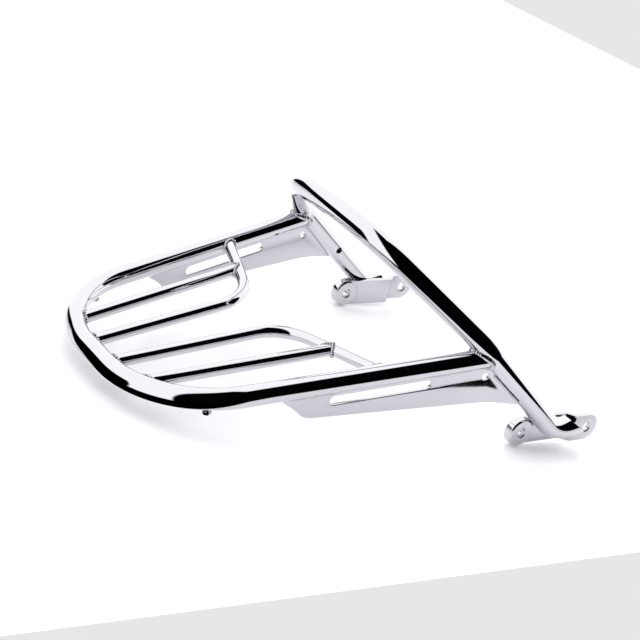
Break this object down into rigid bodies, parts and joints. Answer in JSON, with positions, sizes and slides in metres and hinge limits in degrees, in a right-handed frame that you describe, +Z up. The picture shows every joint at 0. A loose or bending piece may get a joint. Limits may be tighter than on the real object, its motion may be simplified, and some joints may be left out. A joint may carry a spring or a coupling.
{
  "type": "motorcycle luggage rack with backrest hoop",
  "caption": "Chromed tubular luggage rack for a motorcycle tail, with a low leaning backrest hoop, slotted side plates and eyes for bolting to the fender.",
  "frame": {"origin": "middle of the common axis of the two rear mounting eyes", "axes": "+X forward towards the mounting feet, +Y to the left side of the motorcycle, +Z up, with the rack plane level as when mounted"},
  "size_m": [0.4631, 0.3214, 0.228],
  "materials": {
    "chrome_tube": "mirror chrome plate on steel tube and bar",
    "chrome_plate": "chrome plate on cut and pressed steel",
    "chrome_weld": "chrome plate over rippled weld bead"
  },
  "bodies": {
    "root": {"hoop_tube": "chrome_tube", "rim_tube": "chrome_tube", "rail_left": "chrome_tube", "rail_right": "chrome_tube", "slat_left": "chrome_tube", "slat_right": "chrome_tube", "side_plate_left": "chrome_plate", "side_plate_right": "chrome_plate", "foot_strap_left": "chrome_plate", "foot_strap_right": "chrome_plate", "rear_bush_left": "chrome_plate", "rear_bush_right": "chrome_plate", "rim_stud_left": "chrome_plate", "rim_stud_right": "chrome_plate", "bead_hoop_joint_left": "chrome_weld", "bead_hoop_joint_right": "chrome_weld", "bead_rail_rear_left": "chrome_weld", "bead_rail_rear_right": "chrome_weld", "bead_rail_front_left": "chrome_weld", "bead_rail_front_right": "chrome_weld", "bead_slat_rear_left": "chrome_weld", "bead_slat_rear_right": "chrome_weld", "bead_slat_front_left": "chrome_weld", "bead_slat_front_right": "chrome_weld", "bead_plate_rim_left": "chrome_weld", "bead_plate_rim_right": "chrome_weld", "bead_plate_hoop_left": "chrome_weld", "bead_plate_hoop_right": "chrome_weld", "bead_bush_left": "chrome_weld", "bead_bush_right": "chrome_weld", "bead_foot_left": "chrome_weld", "bead_foot_right": "chrome_weld"}
  },
  "joints": []
}
